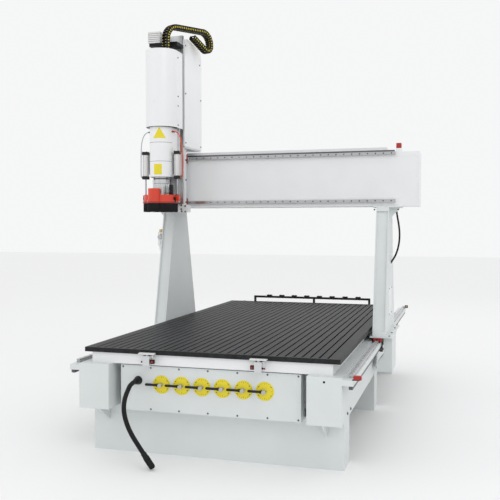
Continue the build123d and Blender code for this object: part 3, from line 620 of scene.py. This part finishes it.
rails_lo, rails_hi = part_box("y_rails")
rail_middle = 0.0115
for x in (rails_lo[0] + rail_middle, rails_hi[0] - rail_middle):
    rail_plugs(plugs["base"], (x, rails_lo[1], rails_hi[2]), Y, Z, rails_hi[1] - rails_lo[1])
rails_lo, rails_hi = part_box("x_rails")
for z in (rails_lo[2] + rail_middle, rails_hi[2] - rail_middle):
    rail_plugs(plugs["gantry"], (rails_lo[0], rails_lo[1], z), X, -Y, rails_hi[0] - rails_lo[0])
rails_lo, rails_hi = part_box("z_rails")
z_rail_middle = 0.010
for x in (rails_lo[0] + z_rail_middle, rails_hi[0] - z_rail_middle):
    rail_plugs(plugs["carriage"], (x, rails_lo[1], rails_lo[2]), Z, -Y, rails_hi[2] - rails_lo[2])
for body, bm in plugs.items():
    piece(f"rail_plugs_{body}", bm, dark_steel, body)

# ------------------------------------------------------------------ head covers
cover_lo, cover_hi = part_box("lower_cover")
upper_lo, upper_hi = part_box("upper_cover")
cover_r = (cover_hi[0] - cover_lo[0]) / 2
upper_r = (upper_hi[0] - upper_lo[0]) / 2
upper_arc_y = upper_lo[1] + upper_r


def bent_strip(bm, centre_y, r, columns, thick=0.0012):
    """A thin plate that follows a half-round cover; columns are (angle, low z, high z)."""
    rings = []
    for a, z0, z1 in columns:
        ray = Vector((math.sin(a), -math.cos(a), 0))
        inner = Vector((axis_x, centre_y, 0)) + ray * (r - 0.0004)
        outer = Vector((axis_x, centre_y, 0)) + ray * (r + thick)
        section = ((inner, z0), (outer, z0), (outer, z1), (inner, z1))
        rings.append([bm.verts.new(p + Z * z) for p, z in section])
    for a, b in zip(rings, rings[1:]):
        for k in range(4):
            bm.faces.new((a[k], a[(k + 1) % 4], b[(k + 1) % 4], b[k]))
    bm.faces.new(rings[0][::-1])
    bm.faces.new(rings[-1])


def strip_columns(a0, a1, z0, z1, count=16):
    """Columns of an upright strip of even height, for bent_strip."""
    return [(a0 + (a1 - a0) * k / count, z0, z1) for k in range(count + 1)]


bm = bmesh.new()
lean = [(-0.34 + 1.13 * k / 16) for k in range(17)]
top_z, foot_z = cover_hi[2] - 0.006, cover_hi[2] - 0.088
bent_strip(bm, axis_y, cover_r, [
    (a, foot_z, foot_z + 0.001 + (top_z - foot_z) * (1 - abs(k - 8) / 8))
    for k, a in enumerate(lean)
])
label = strip_columns(-0.27, 0.43, cover_lo[2] + 0.017, cover_lo[2] + 0.097)
bent_strip(bm, axis_y, cover_r, label)
piece("cover_plaques", bm, yellow, "head")
bm = bmesh.new()
for z in (cover_lo[2] + 0.118, cover_lo[2] + 0.263):
    bent_strip(bm, axis_y, cover_r, strip_columns(-math.pi / 2, math.pi / 2, z, z + 0.0025, 28),
               0.0003)
piece("cover_seams", bm, dark_steel, "head")
bm = bmesh.new()
for z in (upper_lo[2] + 0.020, upper_lo[2] + 0.168, upper_lo[2] + 0.242, upper_lo[2] + 0.541):
    for x, way in ((upper_hi[0], X), (upper_lo[0], -X)):
        screw(bm, (x, upper_arc_y + 0.022, z), way, 0.0042, 0.004)
for z in (cover_lo[2] + 0.030, cover_lo[2] + 0.190, cover_lo[2] + 0.350):
    for x, way in ((cover_hi[0], X), (cover_lo[0], -X)):
        screw(bm, (x, axis_y + 0.040, z), way, 0.0042, 0.004)
piece("cover_screws", bm, enamel, "head")

# ------------------------------------------------------------------ spindle rings
rings, dark_rings = bmesh.new(), bmesh.new()
spindle_r = 0.059
for k in range(26):
    a = 2 * math.pi * k / 26
    foot = Vector((axis_x + spindle_r * math.cos(a), axis_y + spindle_r * math.sin(a),
                   hood_hi[2] - 0.040))
    lathe(rings, foot, Z, [(0.0018, 0), (0.0030, 0.002), (0.0030, 0.080), (0.0018, 0.082)], 10)
lathe(dark_rings, (axis_x, axis_y, cover_lo[2] - 0.020), Z, [
    (spindle_r - 0.001, 0), (spindle_r + 0.0012, 0.001), (spindle_r + 0.0012, 0.011),
    (spindle_r - 0.001, 0.012)], 48)
lathe(dark_rings, (axis_x, axis_y, cover_lo[2] - 0.052), Z, [
    (spindle_r - 0.001, 0), (spindle_r + 0.0008, 0.0006), (spindle_r + 0.0008, 0.003),
    (spindle_r - 0.001, 0.0035)], 48)
piece("spindle_fins", rings, spindle_metal, "head")
piece("spindle_bands", dark_rings, dark_steel, "head")

# ------------------------------------------------------------------ hood band, clips and sensor
bm = bmesh.new()
band_low, band_high = hood_lo[2] + 0.0015, hood_lo[2] + 0.0115
outer_line, inner_line = hood_line(-0.0012, 160), hood_line(0.004, 160)
ring = []
for o, i in zip(outer_line, inner_line):
    ring.append([bm.verts.new(Vector((p.x, p.y, z))) for p, z in (
        (i, band_low), (o, band_low), (o, band_high), (i, band_high))])
for k in range(len(ring)):
    a, b = ring[k], ring[(k + 1) % len(ring)]
    for j in range(4):
        bm.faces.new((a[j], a[(j + 1) % 4], b[(j + 1) % 4], b[j]))
piece("hood_band", bm, dark_red, "hood")
hood_roof = hood_hi[2] - 0.047
bm = bmesh.new()
brick(bm, (axis_x + 0.092, axis_y - 0.070, hood_roof),
      (axis_x + 0.113, axis_y - 0.030, hood_roof + 0.078), 0.002)
brick(bm, (axis_x + 0.095, axis_y - 0.0715, hood_roof + 0.010),
      (axis_x + 0.110, axis_y - 0.0695, hood_roof + 0.030), 0.0006)
for x in (axis_x - 0.1275, axis_x + 0.1275):
    brick(bm, (x - 0.006, axis_y - 0.050, hood_lo[2] + 0.002),
          (x + 0.006, axis_y - 0.030, hood_lo[2] + 0.048), 0.0015)
piece("hood_fittings", bm, black, "hood")
bm = bmesh.new()
for x in (axis_x - 0.133, axis_x + 0.133):
    screw(bm, (x - 0.009, axis_y - 0.009, hood_roof), Z, 0.003, 0.0025)
    screw(bm, (x + 0.009, axis_y + 0.009, hood_roof), Z, 0.003, 0.0025)
    lathe(bm, (x, axis_y, hood_roof), Z, [
        (0.0105, 0), (0.0105, 0.005), (0.0095, 0.006), (0.0062, 0.006),
    ], 6)
piece("hood_nuts", bm, dark_steel, "hood")

# ------------------------------------------------------------------ hood cylinders and their tubes
cyl_lo, cyl_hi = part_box("hood_cylinders")
cap_half, cap_height = 0.0225, 0.025
caps, barrels, ports = bmesh.new(), bmesh.new(), bmesh.new()
for side, x in ((-1, cyl_lo[0] + cap_half), (1, cyl_hi[0] - cap_half)):
    for z in (cyl_lo[2], cyl_hi[2] - cap_height):
        brick(caps, (x - cap_half, axis_y - cap_half, z),
              (x + cap_half, axis_y + cap_half, z + cap_height), 0.003)
        lathe(ports, (x + side * 0.0220, axis_y, z + 0.0125), X * side, [
            (0.0065, 0), (0.0065, 0.004), (0.0050, 0.0045), (0.0050, 0.009), (0.0040, 0.010)], 6)
    lathe(barrels, (x, axis_y, cyl_lo[2] + 0.024), Z,
          [(0.0195, 0), (0.0200, 0.002), (0.0200, 0.165), (0.0195, 0.167)], 40)
    for dx in (-0.017, 0.017):
        for dy in (-0.017, 0.017):
            lathe(barrels, (x + dx, axis_y + dy, cyl_lo[2] + 0.020), Z,
                  [(0.0025, 0), (0.0025, 0.175)], 10)
            screw(caps, (x + dx, axis_y + dy, cyl_hi[2] - 0.0005), Z, 0.0030, 0.0025)
cap_piece = piece("cylinder_caps", caps, enamel, "head")
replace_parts(cap_piece, "hood_cylinders")
piece("cylinder_barrels", barrels, pale_enamel, "head")
piece("cylinder_ports", ports, brass, "head")
low_port = cyl_lo[2] + cap_height / 2
for name, side, finish, r in (("right", 1, tube_orange, 0.0042), ("left", -1, tube_grey, 0.0036)):
    edge = axis_x + side * 0.1555
    bm = bmesh.new()
    lathe(bm, (axis_x + side * (cover_r - 0.002), axis_y, cover_hi[2] - 0.031), X * side, [
        (0.0085, 0), (0.0085, 0.008), (0.0065, 0.009), (0.0065, 0.019), (0.0052, 0.020)], 12)
    piece(f"tube_fitting_{name}", bm, dark_red if side > 0 else dark_steel, "head")
    curve_tube(f"air_tube_{name}", [
        (axis_x + side * 0.104, axis_y, cover_hi[2] - 0.031),
        (axis_x + side * 0.130, axis_y, cover_hi[2] - 0.032),
        (edge + side * 0.004, axis_y, cover_hi[2] - 0.075),
        (edge + side * 0.017, axis_y, cover_hi[2] - 0.150),
        (edge + side * 0.018, axis_y, low_port + 0.080),
        (edge + side * 0.018, axis_y, low_port + 0.022),
        (edge + side * 0.016, axis_y, low_port + 0.002), (edge + side * 0.006, axis_y, low_port),
    ], r, finish, "head")

# ------------------------------------------------------------------ carriage screws and motors
bm = bmesh.new()
carriage_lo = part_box("x_carriage")[0]
for dx, dz in ((0.089, 0.057), (0.089, 0.025), (0.093, 0.008), (0.123, 0.006), (0.123, 0.050)):
    screw(bm, (axis_x + dx, carriage_lo[1], carriage_lo[2] + dz), -Y, 0.0045, 0.005)
tower_half = 0.095
for x, way in ((axis_x - tower_half, -X), (axis_x + tower_half, X)):
    for z in (1.620, 1.800, 1.960):
        screw(bm, (x, -0.175, z), way, 0.0055, 0.005)
tower_cover_lo, tower_cover_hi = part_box("tower_cover")
for x, way in ((tower_cover_lo[0], -X), (tower_cover_hi[0], X)):
    for y, z in ((-0.262, 2.090), (-0.262, 2.480), (-0.262, 2.860), (0.085, 2.090), (0.085, 2.480),
                 (0.060, 2.770)):
        screw(bm, (x, y, z), way, 0.0048, 0.0035)
piece("carriage_screws", bm, enamel, "carriage")


def motor_detail(dark, pale, lo, hi):
    """Rib lines round a square motor, and a pale plate on its front and back."""
    count = max(3, int((hi[2] - lo[2]) / 0.014))
    for k in range(1, count):
        z = lo[2] + (hi[2] - lo[2]) * k / count
        brick(dark, (lo[0] - 0.0012, lo[1] - 0.0012, z - 0.0022),
              (hi[0] + 0.0012, hi[1] + 0.0012, z + 0.0022), 0.0008)
    middle = (lo[0] + hi[0]) / 2
    brick(pale, (middle - 0.022, lo[1] - 0.0024, lo[2] + 0.020),
          (middle + 0.022, lo[1] - 0.0010, lo[2] + 0.050), 0.0004)
    brick(pale, (middle - 0.022, hi[1] + 0.0010, lo[2] + 0.020),
          (middle + 0.022, hi[1] + 0.0024, lo[2] + 0.050), 0.0004)


dark, pale = bmesh.new(), bmesh.new()
lo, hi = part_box("x_drive_motor")
motor_detail(dark, pale, (lo[0] + 0.005, lo[1] + 0.005, lo[2] + 0.070),
             (hi[0] - 0.005, hi[1] - 0.005, hi[2]))
for dx in (lo[0] + 0.008, hi[0] - 0.008):
    for dy in (lo[1] + 0.008, hi[1] - 0.008):
        screw(dark, (dx, dy, lo[2] + 0.070), Z, 0.004, 0.004)
lo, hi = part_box("z_motor")
for k in range(1, 6):
    z = lo[2] + (hi[2] - lo[2]) * k / 6
    brick(dark, (lo[0] - 0.0008, lo[1] - 0.0008, z - 0.0010),
          (hi[0] + 0.0008, hi[1] + 0.0008, z + 0.0010), 0.0004)
piece("motor_ribs", dark, enamel, "carriage")
piece("motor_plates", pale, pale_enamel, "carriage")

bm = bmesh.new()
lo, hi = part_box("drive_covers")
for x, way in ((lo[0], -X), (hi[0], X)):
    for y in (lo[1] + 0.015, (lo[1] + hi[1]) / 2, hi[1] - 0.015):
        for z in (lo[2] + 0.014, hi[2] - 0.016):
            screw(bm, (x - way.x * 0.0022, y, z), way, 0.0040, 0.0022)
leg_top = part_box("gantry_legs")[1][2]
top_front, foot_plate_top = -0.155, 0.616
for side in (-1, 1):
    for dx in (0.806, 0.899, 0.984):
        screw(bm, (side * dx, top_front + 0.003, leg_top - 0.026), -Y, 0.0045, 0.004)
    for dx, dy in ((0.812, -0.335), (0.812, 0.305), (0.940, -0.335), (0.940, -0.150),
                   (0.940, 0.120), (0.940, 0.305)):
        screw(bm, (side * dx, dy, foot_plate_top), Z, 0.0060, 0.005)
piece("gantry_screws", bm, dark_steel, "gantry")

x_stop_lo, x_stop_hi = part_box("x_bumpers")
red_caps, feet = bmesh.new(), bmesh.new()
for x0, x1 in ((x_stop_lo[0], x_stop_lo[0] + 0.040), (x_stop_hi[0] - 0.045, x_stop_hi[0])):
    brick(feet, (x0, x_stop_lo[1], x_stop_lo[2]), (x1, x_stop_hi[1], x_stop_lo[2] + 0.032), 0.002)
    brick(red_caps, (x0 + 0.003, x_stop_lo[1] + 0.002, x_stop_lo[2] + 0.031),
          (x1 - 0.003, x_stop_hi[1] - 0.002, x_stop_hi[2]), 0.005)
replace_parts(piece("beam_stops", red_caps, red, "gantry"), "x_bumpers")
piece("beam_stop_feet", feet, white, "gantry")

# ------------------------------------------------------------------ air unit
air_lo, air_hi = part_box("air_regulator")
bowl_x = (air_lo[0] + air_hi[0]) / 2
bowl_y = air_lo[1] + 0.018 + 0.023  # behind the front face: its step, then half its depth
bm = bmesh.new()
lathe(bm, (bowl_x, bowl_y, 1.3775), Z, [
    (0.0150, 0), (0.0165, 0.002), (0.0165, 0.018), (0.0150, 0.021), (0.006, 0.0215),
], 24)
brick(bm, (air_lo[0] + 0.002, bowl_y - 0.021, 1.312), (air_hi[0] - 0.001, bowl_y + 0.021, 1.318),
      0.001)
piece("air_unit_knob", bm, brass, "gantry")
bm = bmesh.new()
lathe(bm, (bowl_x, air_lo[1] + 0.014, 1.335), -Y, [
    (0.0170, -0.008), (0.0185, 0.001), (0.0185, 0.009), (0.0170, 0.011), (0.0002, 0.0112)], 32)
piece("air_unit_gauge", bm, chrome, "gantry")
bm = bmesh.new()
for z in (1.285, 1.360):
    lathe(bm, (bowl_x, air_lo[1] + 0.006, z), -Y,
          [(0.0095, -0.006), (0.0095, 0.003), (0.0060, 0.004), (0.0060, 0.0055)], 6)
piece("air_unit_nuts", bm, brass, "gantry")

# ------------------------------------------------------------------ leg cable
cable_y = front_y + 1.600
cable_route = [
    (0.950, cable_y, 1.572), (0.958, cable_y - 0.004, 1.510), (0.972, cable_y - 0.008, 1.440),
    (0.980, cable_y - 0.010, 1.368), (0.977, cable_y - 0.012, 1.296),
    (0.962, cable_y - 0.014, 1.228),
    (0.938, cable_y - 0.017, 1.172), (0.906, cable_y - 0.020, 1.130),
]
leg_cable = curve_tube("leg_cable_sheath", cable_route, 0.007, rubber, "gantry")
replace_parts(leg_cable, "leg_cable")
bm = bmesh.new()
lathe(bm, (0.9515, cable_y - 0.0005, 1.5655), -Z,
      [(0.0125, 0), (0.0125, 0.010), (0.0095, 0.011), (0.0095, 0.020), (0.0075, 0.022)], 12)
piece("leg_cable_gland", bm, black, "gantry")

# ------------------------------------------------------------------ front panel and stops
bm = bmesh.new()
for k in range(7):
    x = panel_lo[0] + 0.015 + (panel_hi[0] - panel_lo[0] - 0.030) * k / 6
    for z in (panel_lo[2] + 0.012, panel_hi[2] - 0.012):
        screw(bm, (x, panel_y, z), -Y, 0.0040, 0.003)
dial_screw_r, dial_screw_turn = 0.0450, 0.6
for x in dials:
    for a in (dial_screw_turn, math.pi - dial_screw_turn, math.pi + dial_screw_turn,
              -dial_screw_turn):
        place = (x + dial_screw_r * math.cos(a), panel_y - 0.0022,
                 dial_z + dial_screw_r * math.sin(a))
        screw(bm, place, -Y, 0.0022, 0.0014)
rack_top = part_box("tool_rack")[1]
first_fork, fork_pitch = -0.426, 0.128
for i in range(8):
    x = first_fork + fork_pitch * i
    for dx in (-0.012, 0.012):
        screw(bm, (x + dx, rack_top[1] - 0.010, rack_top[2]), Z, 0.0035, 0.0028)
piece("panel_screws", bm, dark_steel, "base")
stop_lo, stop_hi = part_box("stop_cylinders")
black_bits, red_bits, plates = bmesh.new(), bmesh.new(), bmesh.new()
for x, side in ((stop_lo[0] + 0.022, 1), (stop_hi[0] - 0.022, -1)):
    y = stop_lo[1] + 0.017
    brick(plates, (x - 0.030, stop_lo[1] + 0.036, stop_lo[2] + 0.002),
          (x + 0.030, stop_lo[1] + 0.042, stop_hi[2] - 0.002), 0.001)
    brick(black_bits, (x + side * 0.036 - 0.012, y - 0.010, stop_lo[2] + 0.012),
          (x + side * 0.036 + 0.012, y + 0.010, stop_lo[2] + 0.036), 0.002)
    lathe(red_bits, (x + side * 0.036, y - 0.009, stop_lo[2] + 0.024), -Y,
          [(0.0075, 0), (0.0075, 0.004), (0.0055, 0.007), (0.0030, 0.007)], 16)
    lathe(black_bits, (x - side * 0.020, y, stop_lo[2] + 0.020), X * -side,
          [(0.0060, 0), (0.0060, 0.006), (0.0042, 0.007), (0.0042, 0.014)], 12)
    lathe(red_bits, (x - side * 0.034, y, stop_lo[2] + 0.020), X * -side,
          [(0.0062, 0), (0.0062, 0.004), (0.0040, 0.005)], 16)
piece("stop_valves", black_bits, black, "base")
piece("stop_fittings", red_bits, red, "base")
piece("stop_plates", plates, cover_white, "base")
bumper_lo, bumper_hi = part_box("y_bumpers")
rear_stops_x = (bumper_lo[0] + 0.015, -bumper_lo[0] - 0.015)
bm = bmesh.new()
brick(bm, (bumper_hi[0] - 0.056, bumper_lo[1], bumper_lo[2] + 0.003),
      (bumper_hi[0] - 0.010, bumper_lo[1] + 0.024, bumper_hi[2] - 0.001), 0.003)
front_stop = piece("front_stop", bm, red, "base")
bm = bmesh.new()
brick(bm, (bumper_hi[0] - 0.062, bumper_lo[1] + 0.002, bumper_lo[2]),
      (bumper_hi[0] - 0.020, bumper_lo[1] + 0.025, bumper_lo[2] + 0.004), 0.001)
for x in rear_stops_x:
    brick(bm, (x - 0.015, bumper_hi[1] - 0.024, bumper_lo[2]),
          (x + 0.015, bumper_hi[1], bumper_hi[2]), 0.003)
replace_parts(front_stop, "y_bumpers")
piece("rear_stops", bm, enamel, "base")
bm = bmesh.new()
for x in rear_stops_x:
    lathe(bm, (x, bumper_hi[1] - 0.024, bumper_lo[2] + 0.014), -Y,
          [(0.009, 0), (0.009, 0.003), (0.006, 0.004), (0.006, 0.009)], 6)
piece("rear_stop_bolts", bm, brass, "base")

# ------------------------------------------------------------------ rear and side covers
# painted shade: these dark strips on the tower's rear face stand in for the shade inside its vent
# slots
bm = bmesh.new()
for k in range(10):
    z = 2.300 + 0.016 * k
    brick(bm, (axis_x - 0.055, tower_cover_hi[1] - 0.0006, z),
          (axis_x + 0.055, tower_cover_hi[1] + 0.0012, z + 0.005), 0.0005)
piece("tower_vent_slot_shade", bm, dark_steel, "carriage")
hatches, hatch_screws = bmesh.new(), bmesh.new()
rear_y, leg_face, hatch_edge = beam_hi[1], 0.915, 0.012
for x in (-0.62, -0.12, 0.38, 0.80):
    half_x, z0, z1 = 0.105, beam_lo[2] + 0.110, beam_hi[2] - 0.110
    brick(hatches, (x - half_x, rear_y - 0.0005, z0), (x + half_x, rear_y + 0.0025, z1), 0.001)
    for dx in (-half_x + hatch_edge, half_x - hatch_edge):
        for z in (z0 + hatch_edge, z1 - hatch_edge):
            screw(hatch_screws, (x + dx, rear_y + 0.0025, z), Y, 0.0040, 0.0030)
for side in (-1, 1):
    outer = side * leg_face
    x0, x1 = sorted((outer - side * 0.0005, outer + side * 0.0025))
    brick(hatches, (x0, -0.120, 0.740), (x1, 0.060, 0.960), 0.001)
    for y in (-0.108, 0.048):
        for z in (0.752, 0.948):
            screw(hatch_screws, (outer + side * 0.0025, y, z), X * side, 0.0040, 0.0030)
piece("access_hatches", hatches, white, "gantry")
piece("hatch_screws", hatch_screws, dark_steel, "gantry")
side_face, bolt_z = 0.815, 0.330
beam_bolts = bmesh.new()
for side in (-1, 1):
    for plinth_y in (front_y + 0.095, front_y + 1.555, front_y + 3.015):
        for dy in (-0.060, 0.060):
            screw(beam_bolts, (side * side_face, plinth_y + dy, bolt_z), X * side, 0.0070, 0.006)
piece("side_beam_bolts", beam_bolts, dark_steel, "base")

# ------------------------------------------------------------------ floor, light and world
bpy.ops.mesh.primitive_plane_add(size=60, location=(0, 0, 0))
floor = bpy.context.object
floor.name = "floor"
floor_mat = bpy.data.materials.new("pale_floor")
floor_mat.use_nodes = True
floor_shader = floor_mat.node_tree.nodes["Principled BSDF"]
floor_shader.inputs["Base Color"].default_value = (0.93, 0.93, 0.93, 1)
floor_shader.inputs["Roughness"].default_value = 0.9
floor.data.materials.append(floor_mat)


def area_light(name, place, target, size, power):
    """A square soft light at a place, turned to its target."""
    light = bpy.data.lights.new(name, "AREA")
    light.size = size
    light.energy = power
    obj = bpy.data.objects.new(name, light)
    obj.location = place
    obj.rotation_euler = (Vector(target) - Vector(place)).to_track_quat("-Z", "Y").to_euler()
    scene.collection.objects.link(obj)


area_light("key", (3.5, -5.5, 5.5), (0, -0.5, 1.0), 4.0, 62)
area_light("fill", (-5.0, -4.5, 4.0), (0, 0, 1.0), 5.0, 14)
area_light("back", (0.5, 6.0, 6.0), (0, 0, 1.0), 5.0, 22)
world = bpy.data.worlds.new("studio")
scene.world = world
world.use_nodes = True
world.node_tree.nodes["Background"].inputs["Color"].default_value = (0.99, 0.995, 1.0, 1)
world.node_tree.nodes["Background"].inputs["Strength"].default_value = 0.93
scene.view_settings.view_transform = "Standard"
